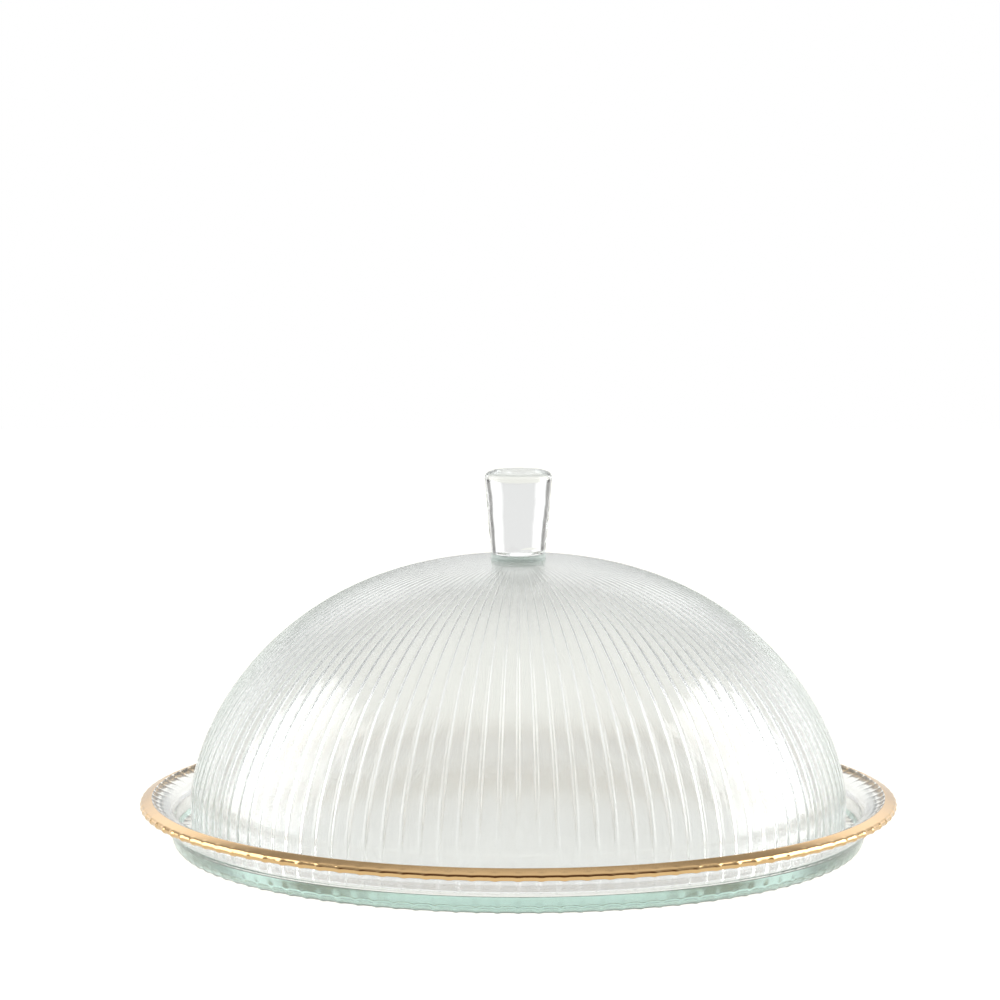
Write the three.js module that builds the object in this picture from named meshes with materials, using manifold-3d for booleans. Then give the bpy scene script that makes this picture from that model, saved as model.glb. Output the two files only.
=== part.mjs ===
// A ribbed glass cloche on its plate. The plate is a shallow pressed-glass dish with a gilt rim. The
// cover is a ribbed dome with a solid glass knob bonded to its crown: it stands loose in the plate's
// well and lifts straight off. Millimetres, +Z up, origin on the table under the middle of the plate.
import * as THREE from "three";
import { mergeVertices } from "three/addons/utils/BufferGeometryUtils.js";
import Module from "manifold-3d";

// Ribs, at one pitch round the dome, the plate's wall and its rim
const RIB_COUNT = 108;
const DOME_RIB_DEPTH = 0.8; // at the foot; the ribs die away towards the crown
const PLATE_RIB_DEPTH = 0.6;

// Dome
const DOME_RADIUS = 130; // over the ribs, at the foot
const DOME_SKIRT = 12; // straight wall above the foot
const DOME_RISE = 95.3; // from the skirt to the top of the crown
const DOME_WALL = 4; // clear of the ribs
const DOME_SIDE_FULLNESS = 2.32; // exponents of the dome's curve: 2 and 2 would be an ellipse
const DOME_CROWN_FULLNESS = 1.63;

// Knob and the bond under it
const KNOB_HEIGHT = 33;
const KNOB_TOP_RADIUS = 13.7;
const KNOB_BASE_RADIUS = 10.6;
const KNOB_TOP_ROUNDING = 3.4;
const BOND_THICKNESS = 2.2; // the collar under the knob
const BOND_OVERHANG = 0.5; // squeezed out round the knob's foot
const KNOB_SEAT_MARGIN = 1; // flat of the crown outside the bond

// Plate
const FLOOR_THICKNESS = 7;
const WELL_DEPTH = 13; // from the floor to the top of the rim
const WELL_MARGIN = 2; // flat floor outside the dome's foot
const WELL_FILLET = 3; // between the floor and the wall
const PLATE_WALL = 4.2; // measured level
const WALL_LEAN = 17; // degrees from upright, both faces
const FOOT_ROUNDING_WIDTH = 5.5;
const FOOT_ROUNDING_HEIGHT = 4;
const FLANGE_WIDTH = 8.5; // from the well's lip to the crest of the rim's bead
const FLANGE_FALL = 2.8; // how far the lip lies below the top of the rim
const FLANGE_SAG = 0.6; // how far the flange's top hangs below a straight line
const CREST_LEDGE = 0.3; // glass that shows inside the gilding's edge
const LIP_ROUNDING = 1.4; // where the well's wall turns into the flange
const COVE_FALL = 1.2; // how far the flange's underside falls from the bead to the wall
const BEAD_REACH = 4.4; // from its crest out to its nose, over the gilding
const BEAD_RISE = 2.5; // from its nose up to its crest
const BEAD_START = -60; // degrees round the bead from level outwards: its underside
const BEAD_END = 100; // just past its crest

// Gilding, a fired band on the top and outside of the bead
const GILT_THICKNESS = 0.4;

// Clearances
const SEAT_GAP = 0.3; // under the dome's foot
const GILT_GAP = 0.2; // under the gilding

// Fineness of the round shapes
const STATIONS_PER_RIB = 2; // a ridge and a valley
const SMOOTH_STATIONS = 72;
const KNOB_STATIONS = 40;
const DOME_STEPS = 8;
const CORNER_STEPS = 3;
const COVE_STEPS = 2;
const BEAD_STEPS = 4;

const wasm = await Module();
wasm.setup();

const radians = THREE.MathUtils.degToRad;
const point = (radius, height) => new THREE.Vector2(radius, height);

// Turns a closed profile of (radius, height) points about +Z.
function turned(profile, stations) {
  return new THREE.LatheGeometry(profile, stations).rotateX(Math.PI / 2);
}

// Turns a profile whose every second meridian is drawn in by the rib depth given for each point.
function ribbed(profile, depthAt) {
  const stations = STATIONS_PER_RIB * Math.round(RIB_COUNT);
  const geometry = turned(profile, stations);
  const position = geometry.getAttribute("position");
  for (let i = 0; i < position.count; i++) {
    const station = Math.floor(i / profile.length);
    const { x: radius } = profile[i % profile.length];
    if (station % STATIONS_PER_RIB === 0 || radius === 0) continue;
    const drawnIn = 1 - depthAt(profile[i % profile.length]) / radius;
    position.setX(i, position.getX(i) * drawnIn);
    position.setY(i, position.getY(i) * drawnIn);
  }
  return geometry;
}

// A quarter of an ellipse in a profile, from a starting angle in degrees
function quarter(centre, width, height, start) {
  const from = radians(start);
  const curve = new THREE.EllipseCurve(centre.x, centre.y, width, height, from, from + Math.PI / 2);
  return curve.getPoints(CORNER_STEPS);
}

// A closed geometry as a solid that can be cut.
function solid(geometry) {
  const bare = geometry.clone();
  bare.deleteAttribute("normal");
  bare.deleteAttribute("uv");
  const merged = mergeVertices(bare, 1e-4);
  return new wasm.Manifold(
    new wasm.Mesh({
      numProp: 3,
      vertProperties: merged.getAttribute("position").array,
      triVerts: new Uint32Array(merged.index.array),
    }),
  );
}

// The first geometry with the second one's space cut out of it.
function hollowed(outside, inside) {
  const mesh = solid(outside).subtract(solid(inside)).getMesh();
  return new THREE.BufferGeometry()
    .setAttribute("position", new THREE.BufferAttribute(mesh.vertProperties, 3))
    .setIndex(new THREE.BufferAttribute(mesh.triVerts, 1));
}

const part = new THREE.Group();

function place(name, geometry, finish) {
  const mesh = new THREE.Mesh(geometry, new THREE.MeshStandardMaterial(finish));
  mesh.name = name;
  part.add(mesh);
}

const PRESSED_GLASS = { color: 0xe6efeb, roughness: 0.06, metalness: 0, transparent: true, opacity: 0.35 };
const SOLID_GLASS = { color: 0xf2f5f4, roughness: 0.03, metalness: 0, transparent: true, opacity: 0.4 };
const CURED_ADHESIVE = { color: 0xcfe3da, roughness: 0.2, metalness: 0, transparent: true, opacity: 0.6 };
const BRIGHT_GILDING = { color: 0xc9a06a, roughness: 0.22, metalness: 1 };

// Heights and radii that the pieces share, from the table up and from the axis out
const domeFoot = FLOOR_THICKNESS + SEAT_GAP;
const domeSpring = domeFoot + DOME_SKIRT;
const bondRadius = KNOB_BASE_RADIUS + BOND_OVERHANG;
const seatRadius = bondRadius + KNOB_SEAT_MARGIN;
const rimTop = FLOOR_THICKNESS + WELL_DEPTH;
const wellRadius = DOME_RADIUS + WELL_MARGIN;
const lean = Math.tan(radians(WALL_LEAN));
const beadHeight = rimTop - BEAD_RISE;
const lipHeight = rimTop - FLANGE_FALL;

// The well's wall at a height: it leans out from the top of the floor's fillet.
function wellWall(height) {
  const filletTop = FLOOR_THICKNESS + WELL_FILLET;
  return point(wellRadius + WELL_FILLET + lean * (height - filletTop), height);
}

// The plate's outer wall, parallel to the well's.
function outerWall(height) {
  return point(wellWall(height).x + PLATE_WALL, height);
}

const beadCentre = point(wellWall(lipHeight).x + FLANGE_WIDTH, beadHeight);

// A point of the bead, at an angle from level outwards and so far under its gilded surface.
function beadPoint(degrees, under) {
  const angle = radians(degrees);
  const out = (BEAD_REACH - under) * Math.cos(angle);
  const up = (BEAD_RISE - under) * Math.sin(angle);
  return beadCentre.clone().add(point(out, up));
}

// The round of the bead from its underside to just past its crest
function beadArc(under) {
  const points = [];
  for (let i = 0; i <= BEAD_STEPS; i++) {
    points.push(beadPoint(BEAD_START + ((BEAD_END - BEAD_START) * i) / BEAD_STEPS, under));
  }
  return points;
}

// The ribs run up the outside of the plate, from its foot over the bead.
const plateRibs = () => PLATE_RIB_DEPTH;

// Plate: rounded foot, leaning wall, cove and beaded edge, with a smooth well pressed into it
{
  const glassBead = GILT_THICKNESS + GILT_GAP;
  const footCentre = outerWall(FOOT_ROUNDING_HEIGHT).sub(point(FOOT_ROUNDING_WIDTH, 0));
  const bead = beadArc(glassBead);
  const beadBottom = bead[0];
  const coveStart = outerWall(FLOOR_THICKNESS + WELL_FILLET);
  const coveCorner = outerWall(beadBottom.y - COVE_FALL);
  const cove = new THREE.QuadraticBezierCurve(coveStart, coveCorner, beadBottom);
  const outline = [
    point(0, 0),
    ...quarter(footCentre, FOOT_ROUNDING_WIDTH, FOOT_ROUNDING_HEIGHT, -90),
    ...cove.getPoints(COVE_STEPS),
    ...bead.slice(1),
    point(0, bead.at(-1).y),
  ];
  const blank = ribbed(outline, plateRibs);

  const filletCentre = point(wellRadius, FLOOR_THICKNESS + WELL_FILLET);
  const lip = wellWall(lipHeight);
  const lipStart = wellWall(lipHeight - LIP_ROUNDING);
  const flangeEnd = bead.at(-1).clone().sub(point(PLATE_RIB_DEPTH + CREST_LEDGE, 0));
  const flangeDip = lip.clone().lerp(flangeEnd, 0.5).sub(point(0, 2 * FLANGE_SAG));
  const lipEnd = lip.clone().lerp(flangeDip, LIP_ROUNDING / FLANGE_WIDTH);
  const lipRounding = new THREE.QuadraticBezierCurve(lipStart, lip, lipEnd);
  const flangeTop = new THREE.QuadraticBezierCurve(lipEnd, flangeDip, flangeEnd);
  const aboveRim = rimTop + BEAD_RISE;
  const well = turned(
    [
      point(0, FLOOR_THICKNESS),
      ...quarter(filletCentre, WELL_FILLET, WELL_FILLET, -90),
      ...lipRounding.getPoints(COVE_STEPS),
      ...flangeTop.getPoints(COVE_STEPS).slice(1),
      point(flangeEnd.x, aboveRim),
      point(0, aboveRim),
    ],
    SMOOTH_STATIONS,
  );
  place("plate", hollowed(blank, well), PRESSED_GLASS);
}

// Gilt rim: a thin band that wraps the bead's crest and outside
{
  const outer = beadArc(0);
  const inner = beadArc(GILT_THICKNESS).reverse();
  const section = [...outer, ...inner, outer[0]];
  place("gilt_rim", ribbed(section, plateRibs), BRIGHT_GILDING);
}

// A quarter of the dome's curve, from its springing line up to the given radius on the crown
function domeCurve(radius, rise, crownRadius) {
  const points = [];
  const last = Math.acos(Math.pow(crownRadius / radius, DOME_SIDE_FULLNESS / 2));
  for (let i = 0; i <= DOME_STEPS; i++) {
    const t = (last * i) / DOME_STEPS;
    const reach = radius * Math.pow(Math.cos(t), 2 / DOME_SIDE_FULLNESS);
    const height = rise * Math.pow(Math.sin(t), 2 / DOME_CROWN_FULLNESS);
    points.push(point(reach, domeSpring + height));
  }
  return points;
}

// Dome: an even shell with ribs outside, open below, with a small flat on its crown for the knob
const outside = domeCurve(DOME_RADIUS, DOME_RISE, seatRadius);
const crown = outside.at(-1).y;
{
  const outline = [point(0, domeFoot), point(DOME_RADIUS, domeFoot), ...outside, point(0, crown)];
  const domeRibs = (p) => (p.x > seatRadius ? (DOME_RIB_DEPTH * p.x) / DOME_RADIUS : 0);
  const cavityRadius = DOME_RADIUS - DOME_RIB_DEPTH - DOME_WALL;
  const cavity = domeCurve(cavityRadius, DOME_RISE - DOME_WALL, seatRadius);
  const belowFoot = domeFoot - DOME_WALL;
  const inside = [
    point(0, belowFoot),
    point(cavityRadius, belowFoot),
    ...cavity,
    point(0, cavity.at(-1).y),
  ];
  place("cloche_dome", hollowed(ribbed(outline, domeRibs), turned(inside, SMOOTH_STATIONS)), PRESSED_GLASS);
}

// Bond: a disc of clear adhesive between the crown and the knob
const knobFoot = crown + BOND_THICKNESS;
{
  const outline = [
    point(0, crown),
    point(bondRadius, crown),
    point(bondRadius, knobFoot),
    point(0, knobFoot),
  ];
  place("knob_bond", turned(outline, KNOB_STATIONS), CURED_ADHESIVE);
}

// Knob: a solid glass grip, wider at the top, with a rounded top edge
{
  const knobTop = knobFoot + KNOB_HEIGHT;
  const edgeCentre = point(KNOB_TOP_RADIUS - KNOB_TOP_ROUNDING, knobTop - KNOB_TOP_ROUNDING);
  const outline = [
    point(0, knobFoot),
    point(KNOB_BASE_RADIUS, knobFoot),
    ...quarter(edgeCentre, KNOB_TOP_ROUNDING, KNOB_TOP_ROUNDING, 0),
    point(0, knobTop),
  ];
  place("knob", turned(outline, KNOB_STATIONS), SOLID_GLASS);
}

export default part;
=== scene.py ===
from math import atan2, cos, hypot, pi, radians, sin

import bpy
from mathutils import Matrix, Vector


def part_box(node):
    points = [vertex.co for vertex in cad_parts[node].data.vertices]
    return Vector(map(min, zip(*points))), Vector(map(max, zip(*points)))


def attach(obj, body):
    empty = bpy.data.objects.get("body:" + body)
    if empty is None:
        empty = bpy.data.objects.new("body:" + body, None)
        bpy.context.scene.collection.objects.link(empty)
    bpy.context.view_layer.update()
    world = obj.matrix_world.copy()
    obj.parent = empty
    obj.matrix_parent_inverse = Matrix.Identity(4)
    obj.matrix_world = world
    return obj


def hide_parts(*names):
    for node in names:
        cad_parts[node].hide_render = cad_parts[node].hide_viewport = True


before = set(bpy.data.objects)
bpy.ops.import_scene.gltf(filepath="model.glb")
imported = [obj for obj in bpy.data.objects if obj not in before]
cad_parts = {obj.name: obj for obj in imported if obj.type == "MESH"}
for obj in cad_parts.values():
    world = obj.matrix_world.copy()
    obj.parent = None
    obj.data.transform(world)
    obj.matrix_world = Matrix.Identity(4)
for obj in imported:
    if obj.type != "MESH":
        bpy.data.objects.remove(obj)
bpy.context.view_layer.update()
bpy.ops.object.select_all(action="DESELECT")

# The camera stands in front of the plate, a little above its rim, and sees it through a long lens,
# so that the ovals of rim and foot are as flat as in the photograph. Nothing is shifted or blurred.
camera_reach = 2.2
camera_rise = radians(11.08)
camera_dip = radians(7.99)
camera_turn = radians(0.193)
camera_lens = 198.7
camera_aim_height = 0.018

bpy.ops.object.camera_add(
    location=(
        0,
        -camera_reach * cos(camera_rise),
        camera_aim_height + camera_reach * sin(camera_rise),
    ),
    rotation=(pi / 2 - camera_dip, 0, camera_turn),
)
camera = bpy.context.object
camera.name = "camera"
camera.data.lens = camera_lens
bpy.context.scene.camera = camera
bpy.context.scene.view_settings.view_transform = "Standard"

# The table is a long sheet of pale card that reaches a good way past the plate on every side.
# It takes the plate's shadow, and a little light of its own brings it up to white for the camera.
table_width = 1.5
table_length = 2.6
table_shade = (0.8, 0.8, 0.8, 1)
table_white_share = 0.88
table_white = 1.02
table_white_straight = 0.22
table_white_tone = (1, 1, 0.935, 1)


class Wire:
    """A socket among the nodes of a finish. A sum written on it becomes Math nodes."""

    def __init__(self, tree, socket=None):
        self.tree = tree
        self.socket = socket

    def node(self, kind, settings, sockets, output=0):
        """Adds a node, with its settings first and then its sockets, and gives one of its outputs."""
        made = self.tree.nodes.new(kind)
        for name, value in settings.items():
            setattr(made, name, value)
        for name, value in sockets.items():
            if isinstance(value, Wire):
                self.tree.links.new(value.socket, made.inputs[name])
            else:
                made.inputs[name].default_value = value
        return Wire(self.tree, made.outputs[output] if made.outputs else None)

    def sum(self, operation, first, second):
        """A Math node on two values."""
        return self.node("ShaderNodeMath", {"operation": operation}, {0: first, 1: second})

    def __add__(self, other):
        return self.sum("ADD", self, other)

    def __radd__(self, other):
        return self.sum("ADD", other, self)

    def __sub__(self, other):
        return self.sum("SUBTRACT", self, other)

    def __rsub__(self, other):
        return self.sum("SUBTRACT", other, self)

    def __mul__(self, other):
        return self.sum("MULTIPLY", self, other)

    def __rmul__(self, other):
        return self.sum("MULTIPLY", other, self)

    def __truediv__(self, other):
        return self.sum("DIVIDE", self, other)

    def held(self):
        """The value, kept between 0 and 1."""
        return self.node("ShaderNodeClamp", {}, {"Value": self})


def bare_nodes(owner):
    """An empty node tree for a material or a world, ready for its first node."""
    owner.use_nodes = True
    owner.node_tree.nodes.clear()
    return Wire(owner.node_tree)


def light_path(finish, output):
    """What the ray that meets a surface has been through."""
    return finish.node("ShaderNodeLightPath", {}, {}, output)


bpy.ops.mesh.primitive_plane_add(size=1)
table = bpy.context.object
table.name = "table"
table.dimensions = (table_width, table_length, 0)
bpy.ops.object.transform_apply(location=False, rotation=False, scale=True)

table_card = bpy.data.materials.new("table_card")
finish = bare_nodes(table_card)
straight = light_path(finish, "Is Camera Ray")
by_mirror = light_path(finish, "Is Glossy Ray")
by_glass = light_path(finish, "Is Transmission Ray")
seen = (straight + by_mirror + by_glass).held()
card = finish.node("ShaderNodeBsdfDiffuse", {}, {"Color": table_shade})
white = finish.node(
    "ShaderNodeEmission",
    {},
    {"Color": table_white_tone, "Strength": table_white + table_white_straight * straight},
)
lit_card = finish.node("ShaderNodeMixShader", {}, {0: table_white_share * seen, 1: card, 2: white})
finish.node("ShaderNodeOutputMaterial", {}, {"Surface": lit_card})
table.data.materials.append(table_card)

# Two softboxes of white cloth stand left and right of the plate, level with the table, and face it.
# They give the glass its white flanks. The right one is a little brighter. Seen straight through
# the glass, with no reflection on the way, the cloth is dimmer, so that the dome keeps its outline.
softbox_reach = 1.25
softbox_width = 1.7
softbox_height = 1.0
softbox_back = 0.2
softbox_dimming = 0.77
softbox_levels = {"left": 3.2, "right": 4.3}
softbox_sides = {"left": -1, "right": 1}

for name, softbox_side in softbox_sides.items():
    middle = Vector((softbox_side * softbox_reach, softbox_back, softbox_height / 2))
    facing = Vector((-softbox_side, 0, 0)).to_track_quat("-Z", "Z")
    bpy.ops.mesh.primitive_plane_add(size=1, location=middle, rotation=facing.to_euler())
    softbox = bpy.context.object
    softbox.name = "softbox_" + name
    softbox.dimensions = (softbox_width, softbox_height, 0)
    bpy.ops.object.transform_apply(location=True, rotation=True, scale=True)
    softbox_cloth = bpy.data.materials.new("softbox_cloth_" + name)
    finish = bare_nodes(softbox_cloth)
    through = light_path(finish, "Transmission Depth").held()
    mirrored = light_path(finish, "Glossy Depth").held()
    glow = softbox_levels[name] * (1 - softbox_dimming * through * (1 - mirrored))
    cloth = finish.node("ShaderNodeEmission", {}, {"Strength": glow})
    finish.node("ShaderNodeOutputMaterial", {}, {"Surface": cloth})
    softbox.data.materials.append(softbox_cloth)
    softbox.visible_camera = False

# The room has dim walls, a pale ceiling and a white backdrop, which the lamps light most
# at its sides and towards its top. Behind the camera it is dark and warm.
# The camera itself sees plain white past the table's edge.
dark_level = 0.1
room_level = 0.38
ceiling_level = 0.85
backdrop_level = 0.84
backdrop_side_gain = 0.5
backdrop_top_gain = 0.6
camera_side_tone = (1, 0.55, 0.25, 1)
plain_white = (1, 1, 1, 1)
backdrop_start = 0.67
backdrop_start_blur = 0.1
backdrop_end = 0.64
backdrop_end_blur = 0.16
lit_side_start = 0.33
lit_side_blur = 0.12
lit_top_start = 0.12
lit_top_blur = 0.25
ceiling_start = 0.76
ceiling_blur = 0.12
wall_foot = -0.15
wall_foot_blur = 0.2
camera_side_end = -0.75
camera_side_blur = 0.2

bpy.context.scene.world = bpy.data.worlds.new("room")
room = bare_nodes(bpy.context.scene.world)
heading = room.node("ShaderNodeTexCoord", {}, {}, "Generated")
across = room.node("ShaderNodeSeparateXYZ", {}, {"Vector": heading}, "X")
away = room.node("ShaderNodeSeparateXYZ", {}, {"Vector": heading}, "Y")
up = room.node("ShaderNodeSeparateXYZ", {}, {"Vector": heading}, "Z")
aside = room.node("ShaderNodeMath", {"operation": "ABSOLUTE"}, {0: across})

backdrop = ((away - backdrop_start) / backdrop_start_blur).held()
backdrop = backdrop * ((backdrop_end - up) / backdrop_end_blur).held()
lit_side = ((aside - lit_side_start) / lit_side_blur).held()
lit_top = ((up - lit_top_start) / lit_top_blur).held()
ceiling = ((up - ceiling_start) / ceiling_blur).held()
past_camera_side = ((away - camera_side_end) / camera_side_blur).held()
lit_walls = ((up - wall_foot) / wall_foot_blur).held() * past_camera_side

lit_backdrop = backdrop_level + backdrop_side_gain * lit_side * (1 - lit_top)
lit_backdrop = lit_backdrop + backdrop_top_gain * lit_top * (1 - lit_side)
walls = dark_level + (room_level - dark_level) * lit_walls
level = walls + (lit_backdrop - walls) * backdrop + (ceiling_level - walls) * ceiling
camera_ray = light_path(room, "Is Camera Ray")
level = level + (1 - level) * camera_ray
tone = room.node(
    "ShaderNodeMix",
    {"data_type": "RGBA"},
    {"Factor": (past_camera_side + camera_ray).held(), "A": camera_side_tone, "B": plain_white},
    "Result",
)
air = room.node("ShaderNodeBackground", {}, {"Color": tone, "Strength": level})
room.node("ShaderNodeOutputWorld", {}, {"Surface": air})

# The plate is a shallow dish of soda glass, pressed in a ribbed mould and fire-polished.
# Ribs run round its foot, under its flange and round the bead at its edge. The wall between them
# is smooth, and so is the well with its flat floor, on which the dome stands.
MM = 0.001
rib_count = 108
rib_girth = 130
plate_rib_section = ((0, 1), (0.5, 0.85), (1, 0.5), (1.5, 0.15), (2, 0), (2.8, 0))
plate_rib_height = 0.3 * MM
rib_columns = 2 * len(plate_rib_section)
rib_full = 1
rib_high = 0.8
rib_low = 0.2
rib_faint = 0.1

plate_bottom = 0.05
cap_radius = 30
flat_margin = 1.5
foot_flat = 131.9
foot_corner = (136.5, plate_bottom)
foot_side = (137.4, 4.0)
outer_wall = (138.1, 6.3)
wall_bend_start = (138.7, 8.5)
wall_bend_corner = (140.2, 14.3)
flange_under = (145.6, 15.35)
nose_under = (148.3, 15.6)
nose_under_corner = (149.9, 15.75)
nose = (150.0, 17.0)
nose_over_corner = (150.0, 18.2)
nose_over = (148.9, 18.65)
rim_top_corner = (147.6, 19.25)
crest_out = (146.3, 19.75)
crest_corner = (145.6, 20.1)
crest_in = (144.9, 19.65)
flange_top_corner = (143.6, 18.3)
flange_middle = (141.5, 17.9)
lip_corner = (137.4, 17.2)
well_wall_top = (136.4, 13.4)
well_wall_foot = (135.5, 9.2)
well_corner = (134.9, 7.0)
well_floor_edge = 132.8
floor_top = 7.0


def rounded(start, corner, end, steps):
    """Points of a curve that leaves start towards corner and comes into end from it."""
    points = []
    for step in range(steps + 1):
        share = step / steps
        weights = ((1 - share) ** 2, 2 * share * (1 - share), share**2)
        ends = (start, corner, end)
        points.append(tuple(sum(w * p[k] for w, p in zip(weights, ends)) for k in (0, 1)))
    return points


def ribbed(points, first, last=None):
    """The points with a rib share each, which runs evenly from the first value to the last."""
    last = first if last is None else last
    steps = max(1, len(points) - 1)
    return [(r, z, first + (last - first) * step / steps) for step, (r, z) in enumerate(points)]


def turned(name, outline, columns, capped=True):
    """Turns an outline of (radius, height, rib share) in millimetres into a round piece."""
    bpy.ops.object.select_all(action="DESELECT")
    bpy.ops.mesh.primitive_circle_add(vertices=len(outline), radius=1)
    piece = bpy.context.object
    piece.name = name
    ridge = piece.vertex_groups.new(name="ridge")
    for vertex, (radius, height, share) in zip(piece.data.vertices, outline):
        vertex.co = (radius * MM, 0, height * MM)
        vertex.select = False
        ridge.add([vertex.index], share, "REPLACE")
    ends = {0, len(outline) - 1}
    for edge in piece.data.edges:
        edge.select = set(edge.vertices) == ends
    bpy.ops.object.mode_set(mode="EDIT")
    bpy.ops.mesh.select_mode(type="EDGE")
    bpy.ops.mesh.delete(type="EDGE")
    bpy.ops.object.mode_set(mode="OBJECT")
    turn = piece.modifiers.new("turn", "SCREW")
    turn.steps = columns
    turn.render_steps = columns
    turn.use_merge_vertices = True
    turn.merge_threshold = 1e-6
    bpy.ops.object.modifier_apply(modifier="turn")
    bpy.ops.object.mode_set(mode="EDIT")
    bpy.ops.mesh.select_all(action="SELECT")
    bpy.ops.mesh.remove_doubles(threshold=1e-6)
    if capped:
        bpy.ops.mesh.fill_holes(sides=0)
    bpy.ops.mesh.select_all(action="SELECT")
    bpy.ops.mesh.normals_make_consistent(inside=False)
    bpy.ops.object.mode_set(mode="OBJECT")
    bpy.ops.object.shade_smooth()
    return piece


def press_ribs(piece, section, height):
    """Moves a turned piece's columns to the stations of the rib's section and raises the ribs there."""
    pitch = 2 * pi / rib_count
    stations = [(offset / rib_girth, rise) for offset, rise in section] + [(pitch / 2, 0)]
    ridge = piece.vertex_groups["ridge"]
    for vertex in piece.data.vertices:
        radius = hypot(vertex.co.x, vertex.co.y)
        turn = atan2(vertex.co.y, vertex.co.x) / pitch
        rib = round(turn)
        column = round((turn - rib) * rib_columns)
        offset, rise = stations[abs(column)]
        angle = rib * pitch + (offset if column > 0 else -offset)
        vertex.co.x = radius * cos(angle)
        vertex.co.y = radius * sin(angle)
        ridge.add([vertex.index], vertex.groups[0].weight * rise, "REPLACE")
    push = piece.modifiers.new("ribs", "DISPLACE")
    push.strength = height
    push.mid_level = 0
    push.vertex_group = "ridge"
    bpy.ops.object.modifier_apply(modifier="ribs")
    piece.vertex_groups.clear()


foot_curve = rounded((foot_flat, plate_bottom), foot_corner, foot_side, steps=6)
flange_curve = rounded(wall_bend_start, wall_bend_corner, flange_under, steps=9)
rim_under = rounded(nose_under, nose_under_corner, nose, steps=6)
rim_nose = rounded(nose, nose_over_corner, nose_over, steps=6)[1:]
rim_top = rounded(nose_over, rim_top_corner, crest_out, steps=4)[1:]
rim_crest = rounded(crest_out, crest_corner, crest_in, steps=4)[1:]
flange_top = rounded(crest_in, flange_top_corner, flange_middle, steps=5)[1:]
lip_curve = rounded(flange_middle, lip_corner, well_wall_top, steps=7)[1:]
well_curve = rounded(well_wall_foot, well_corner, (well_floor_edge, floor_top), steps=6)

plate_outline = ribbed([(cap_radius, plate_bottom), (foot_flat - flat_margin, plate_bottom)], 0)
plate_outline += ribbed(foot_curve[:3], 0, rib_full)
plate_outline += ribbed(foot_curve[3:], rib_high, rib_faint)
plate_outline += ribbed([outer_wall] + flange_curve[:6], 0)
plate_outline += ribbed(flange_curve[6:], rib_low, rib_high)
plate_outline += ribbed(rim_under, rib_full)
plate_outline += ribbed(rim_nose, rib_high, rib_faint)
plate_outline += ribbed(rim_top + rim_crest + flange_top + lip_curve + well_curve, 0)
plate_outline += ribbed([(well_floor_edge - flat_margin, floor_top), (cap_radius, floor_top)], 0)

plate = turned("plate_glass", plate_outline, rib_count * rib_columns)
press_ribs(plate, plate_rib_section, plate_rib_height)

pressed_glass_tint = (0.951, 0.977, 0.968, 1)
pressed_glass_density = 46
pressed_wave_size = 0.02
pressed_wave_height = 0.00008
plate_roughness = 0.1
glass_ior = 1.5
wave_detail = 2.0
haze_scale = 45.0
haze_detail = 3.0
haze_least = 0.7
haze_gain = 0.6


def glass(name, density, wave_size, wave_height, roughness, dull_roughness=0):
    """Clear glass, tinted by its depth. Its skin waves a little, is not equally bright all over,
    and is duller where the piece's points are marked so."""
    material = bpy.data.materials.new(name)
    finish = bare_nodes(material)
    place = finish.node("ShaderNodeTexCoord", {}, {}, "Object")
    wave = finish.node(
        "ShaderNodeTexNoise",
        {},
        {"Vector": place, "Scale": 1 / wave_size, "Detail": wave_detail},
        "Fac",
    )
    haze = finish.node(
        "ShaderNodeTexNoise",
        {},
        {"Vector": place, "Scale": haze_scale, "Detail": haze_detail},
        "Fac",
    )
    dull = finish.node("ShaderNodeAttribute", {"attribute_name": "dull"}, {}, "Fac")
    skin = finish.node(
        "ShaderNodeBump",
        {},
        {"Strength": 1.0, "Distance": wave_height, "Height": wave},
        "Normal",
    )
    body = finish.node(
        "ShaderNodeBsdfPrincipled",
        {},
        {
            "Base Color": plain_white,
            "Roughness": roughness * (haze_least + haze_gain * haze) + dull_roughness * dull,
            "IOR": glass_ior,
            "Transmission Weight": 1.0,
            "Normal": skin,
        },
    )
    depth_tint = finish.node(
        "ShaderNodeVolumeAbsorption", {}, {"Color": pressed_glass_tint, "Density": density}
    )
    finish.node("ShaderNodeOutputMaterial", {}, {"Surface": body, "Volume": depth_tint})
    return material


plate_glass = glass(
    "plate_pressed_glass",
    pressed_glass_density,
    pressed_wave_size,
    pressed_wave_height,
    plate_roughness,
)
plate.data.materials.append(plate_glass)
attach(plate, "plate")
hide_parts("plate")

# The gilding is bright gold, brushed on to the bead's crest and outside and fired.
# It is a film with no thickness to speak of, so it follows every rib of the bead under it.
gilt_thickness = 0.1 * MM
gilt_deep = (0.70, 0.46, 0.22, 1)
gilt_pale = (0.82, 0.56, 0.29, 1)
gilt_roughness = 0.12
gilt_roughness_gain = 0.12
gilt_brush_scale = 120.0
gilt_brush_detail = 3.0

gilt_outline = ribbed(rim_under[1:], rib_full)
gilt_outline += ribbed(rim_nose, rib_high, rib_faint)
gilt_outline += ribbed(rim_top + rim_crest[:2], 0)
gilding = turned("rim_gilt", gilt_outline, rib_count * rib_columns, capped=False)
press_ribs(gilding, plate_rib_section, plate_rib_height)
film = gilding.modifiers.new("film", "SOLIDIFY")
film.thickness = gilt_thickness
film.offset = 0
bpy.ops.object.modifier_apply(modifier="film")

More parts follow.
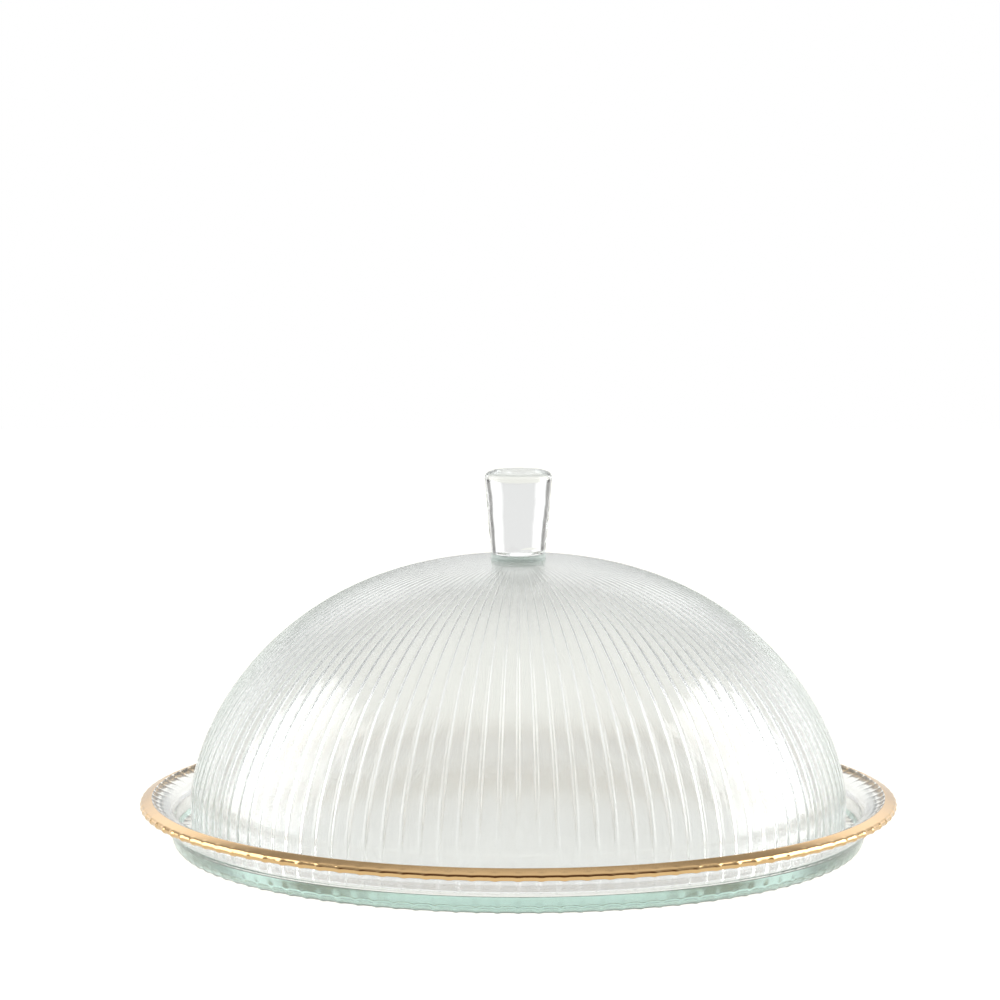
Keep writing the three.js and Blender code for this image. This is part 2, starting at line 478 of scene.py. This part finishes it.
gilt_metal = bpy.data.materials.new("fired_gilding")
finish = bare_nodes(gilt_metal)
place = finish.node("ShaderNodeTexCoord", {}, {}, "Object")
brushed = finish.node(
    "ShaderNodeTexNoise",
    {},
    {"Vector": place, "Scale": gilt_brush_scale, "Detail": gilt_brush_detail},
    "Fac",
)
gold = finish.node(
    "ShaderNodeMix",
    {"data_type": "RGBA"},
    {"Factor": brushed, "A": gilt_deep, "B": gilt_pale},
    "Result",
)
fired_gold = finish.node(
    "ShaderNodeBsdfPrincipled",
    {},
    {
        "Base Color": gold,
        "Metallic": 1.0,
        "Roughness": gilt_roughness + gilt_roughness_gain * brushed,
    },
)
finish.node("ShaderNodeOutputMaterial", {}, {"Surface": fired_gold})
gilding.data.materials.append(gilt_metal)
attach(gilding, "plate")
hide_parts("gilt_rim")

# The dome is the cover, pressed in the same glass as the plate and open below.
# Its outside is bright, with as many ribs, narrow ones that get lower towards the crown. Its inside
# is smooth and duller, from the plunger. It stands on the plate's floor by its own weight.
dome_radius = 129.2
dome_wall = 4.0
dome_rib_section = ((0, 1), (0.34, 0.95), (0.68, 0.5), (1.0, 0.06), (1.4, 0), (2.5, 0))
dome_rib_height = 0.95 * MM
dome_foot = 7.05
dome_foot_round = 1.3
dome_skirt_low = 12
dome_skirt_high = 16
dome_spring = 19.3
dome_rise = 95.3
dome_side_exponent = 2.32
dome_crown_exponent = 1.63
dome_crown_share = 0.972
dome_outer_rows = 40
dome_inner_rows = 18
crown_dull_start = 104
crown_dull_reach = 6
dome_roughness = 0.07
dome_dull_roughness = 0.15


def dome_curve(radius, rise, rows):
    """Points of the dome's section, from its springing up to the edge of its flat crown."""
    turns = [pi / 2 * dome_crown_share * row / rows for row in range(rows + 1)]
    return [
        (
            radius * cos(turn) ** (2 / dome_side_exponent),
            dome_spring + rise * sin(turn) ** (2 / dome_crown_exponent),
        )
        for turn in turns
    ]


def mark_dull(piece, dullness):
    """Writes on each point of a piece how dull its glass is there, by radius and height in millimetres."""
    marks = piece.data.attributes.new("dull", "FLOAT", "POINT")
    for vertex, mark in zip(piece.data.vertices, marks.data):
        mark.value = dullness(hypot(vertex.co.x, vertex.co.y) / MM, vertex.co.z / MM)


def dome_dullness(radius, height):
    """1 on the dome's inside. On its outside 0, rising to 1 on the crown."""
    reach = radius / (dome_radius - dome_wall / 2)
    rise = max(0, height - dome_spring) / (dome_rise - dome_wall / 2)
    if reach**dome_side_exponent + rise**dome_crown_exponent < 1:
        return 1
    return min(1, max(0, (height - crown_dull_start) / crown_dull_reach))


cavity_radius = dome_radius - dome_wall
dome_outer = dome_curve(dome_radius, dome_rise, dome_outer_rows)
dome_inner = dome_curve(cavity_radius, dome_rise - dome_wall, dome_inner_rows)
outer_skirt = [(dome_radius, dome_skirt_high), (dome_radius, dome_skirt_low)]
inner_skirt = [(cavity_radius, dome_skirt_low), (cavity_radius, dome_skirt_high)]
outer_foot = rounded(
    (dome_radius, dome_foot + dome_foot_round),
    (dome_radius, dome_foot),
    (dome_radius - dome_foot_round, dome_foot),
    steps=3,
)
inner_foot = rounded(
    (cavity_radius + dome_foot_round, dome_foot),
    (cavity_radius, dome_foot),
    (cavity_radius, dome_foot + dome_foot_round),
    steps=3,
)
dome_outline = [(r, z, (r / dome_radius) ** 2) for r, z in dome_outer[::-1]]
dome_outline += ribbed(outer_skirt, rib_full)
dome_outline += ribbed(outer_foot, rib_full, 0)
dome_outline += ribbed(inner_foot + inner_skirt + dome_inner, 0)

dome = turned("dome_glass", dome_outline, rib_count * rib_columns)
press_ribs(dome, dome_rib_section, dome_rib_height)
mark_dull(dome, dome_dullness)
dome_glass = glass(
    "dome_pressed_glass",
    pressed_glass_density,
    pressed_wave_size,
    pressed_wave_height,
    dome_roughness,
    dome_dull_roughness,
)
dome.data.materials.append(dome_glass)
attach(dome, "cloche")
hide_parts("cloche_dome")

# The bond is the clear adhesive that holds the knob on the crown.
# It was squeezed out a little all round, and it shows as a thin green collar.
bond_low, bond_high = (corner.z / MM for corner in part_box("knob_bond"))
bond_cap_radius = 2
bond_foot_flat = 10.7
bond_foot_radius = 11.1
bond_waist_radius = 10.6
bond_top_radius = 10.8
bond_top_flat = 10.3
bond_columns = 96
bond_green = (0.88, 0.99, 0.95, 1)
bond_clear = (0.95, 1, 0.98, 1)
bond_ior = 1.12
bond_transmission = 0.8
bond_roughness = 0.05
bond_roughness_gain = 0.1
bond_cloud_scale = 300.0
bond_cloud_detail = 2.0

bond_side = rounded(
    (bond_foot_radius, bond_low),
    (bond_waist_radius, (bond_low + bond_high) / 2),
    (bond_top_radius, bond_high),
    steps=4,
)
bond_outline = ribbed([(bond_cap_radius, bond_low), (bond_foot_flat, bond_low)], 0)
bond_outline += ribbed(bond_side, 0)
bond_outline += ribbed([(bond_top_flat, bond_high), (bond_cap_radius, bond_high)], 0)
bond = turned("bond_ring", bond_outline, bond_columns)
bond.vertex_groups.clear()

bond_adhesive = bpy.data.materials.new("cured_adhesive")
finish = bare_nodes(bond_adhesive)
place = finish.node("ShaderNodeTexCoord", {}, {}, "Object")
cloudy = finish.node(
    "ShaderNodeTexNoise",
    {},
    {"Vector": place, "Scale": bond_cloud_scale, "Detail": bond_cloud_detail},
    "Fac",
)
cured = finish.node(
    "ShaderNodeMix",
    {"data_type": "RGBA"},
    {"Factor": cloudy, "A": bond_green, "B": bond_clear},
    "Result",
)
collar = finish.node(
    "ShaderNodeBsdfPrincipled",
    {},
    {
        "Base Color": cured,
        "Roughness": bond_roughness + bond_roughness_gain * cloudy,
        "IOR": bond_ior,
        "Transmission Weight": bond_transmission,
    },
)
finish.node("ShaderNodeOutputMaterial", {}, {"Surface": collar})
bond.data.materials.append(bond_adhesive)
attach(bond, "cloche")
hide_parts("knob_bond")

# The knob is a solid plug of clear glass, drawn wider to the top and worked by hand,
# so its side waves a little and its top is duller. It is bonded to the crown by its flat foot.
knob_low, knob_high = (corner.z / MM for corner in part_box("knob"))
knob_foot_gap = 0.1
knob_low += knob_foot_gap
knob_cap_radius = 2
knob_foot_flat = 9.4
knob_foot_radius = 10.6
knob_foot_round = 0.5
knob_side_start = 1.2
knob_top_radius = 13.7
knob_top_round = 3.4
knob_top_drop = 4.2
knob_top_corner_drop = 0.5
knob_top_edge_drop = 0.3
knob_top_flat = 7.7
knob_top_flat_drop = 0.1
knob_columns = 128
knob_rows = 28
knob_lean = (knob_top_radius - knob_foot_radius) / (knob_high - knob_low)
hand_work_size = 0.012
hand_work_height = 0.0005
hand_work_edge_share = 0.3
knob_dull_depth = 5
knob_dull_reach = 4
knob_density = 20
knob_wave_size = 0.006
knob_wave_height = 0.00004
knob_roughness = 0.04
knob_dull_roughness = 0.3


def knob_side(height):
    """The knob's radius at a height."""
    return knob_foot_radius + knob_lean * (height - knob_low)


def knob_dullness(radius, height):
    """0 on the knob's side, rising to 1 just under its top."""
    return min(1, max(0, (height - knob_high + knob_dull_depth) / knob_dull_reach))


side_low = knob_low + knob_side_start
side_high = knob_high - knob_top_drop
foot_edge = rounded(
    (knob_foot_radius - knob_foot_round, knob_low),
    (knob_foot_radius, knob_low),
    (knob_side(knob_low + knob_foot_round), knob_low + knob_foot_round),
    steps=3,
)
top_edge = rounded(
    (knob_side(side_high), side_high),
    (knob_top_radius, knob_high - knob_top_corner_drop),
    (knob_top_radius - knob_top_round, knob_high - knob_top_edge_drop),
    steps=6,
)[1:]
top_flat = [(knob_top_flat, knob_high - knob_top_flat_drop), (knob_cap_radius, knob_high)]

knob_outline = ribbed([(knob_cap_radius, knob_low), (knob_foot_flat, knob_low)] + foot_edge, 0)
for row in range(knob_rows + 1):
    row_height = side_low + (side_high - side_low) * row / knob_rows
    row_share = hand_work_edge_share if row in (0, knob_rows) else 1
    knob_outline.append((knob_side(row_height), row_height, row_share))
knob_outline += ribbed(top_edge + top_flat, 0)
knob = turned("knob_glass", knob_outline, knob_columns)

hand_work = bpy.data.textures.new("hand_work", "CLOUDS")
hand_work.noise_scale = hand_work_size
waves = knob.modifiers.new("waves", "DISPLACE")
waves.texture = hand_work
waves.texture_coords = "LOCAL"
waves.vertex_group = "ridge"
waves.strength = hand_work_height
waves.mid_level = 0.5
bpy.ops.object.modifier_apply(modifier="waves")
knob.vertex_groups.clear()
mark_dull(knob, knob_dullness)
knob_glass = glass(
    "knob_clear_glass",
    knob_density,
    knob_wave_size,
    knob_wave_height,
    knob_roughness,
    knob_dull_roughness,
)
knob.data.materials.append(knob_glass)
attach(knob, "cloche")
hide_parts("knob")

# Light crosses many walls of glass before it reaches the camera, so it may turn that often.
glass_turns = 24
mirror_turns = 12
bpy.context.scene.cycles.max_bounces = glass_turns
bpy.context.scene.cycles.transmission_bounces = glass_turns
bpy.context.scene.cycles.glossy_bounces = mirror_turns
